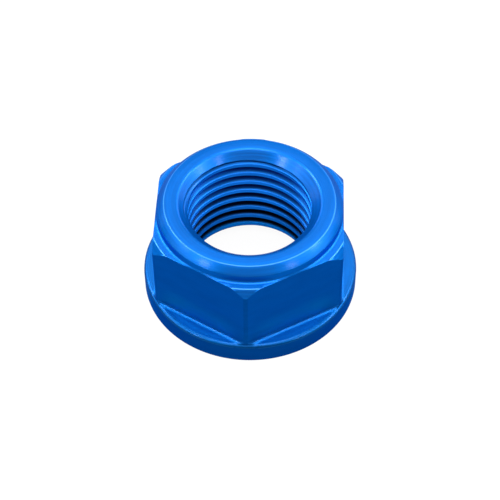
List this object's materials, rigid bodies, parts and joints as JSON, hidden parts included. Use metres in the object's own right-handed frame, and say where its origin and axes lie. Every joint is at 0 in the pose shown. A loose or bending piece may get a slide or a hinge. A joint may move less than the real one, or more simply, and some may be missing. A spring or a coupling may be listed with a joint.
{
  "type": "threaded nut",
  "caption": "Blue anodised hexagon nut with a thin round flange under the hexagon and a low chamfered collar round the threaded bore.",
  "frame": {"origin": "centre of the flange's flat seat, on the axis of the thread", "axes": "+Z along the thread, from the seat to the collar; two corners of the hexagon point along +Y and -Y, and two flats face +X and -X"},
  "size_m": [0.0258, 0.0258, 0.0138],
  "materials": {
    "anodised": "satin, turned and milled, blue anodised"
  },
  "bodies": {
    "root": {"nut": "anodised"}
  },
  "joints": []
}
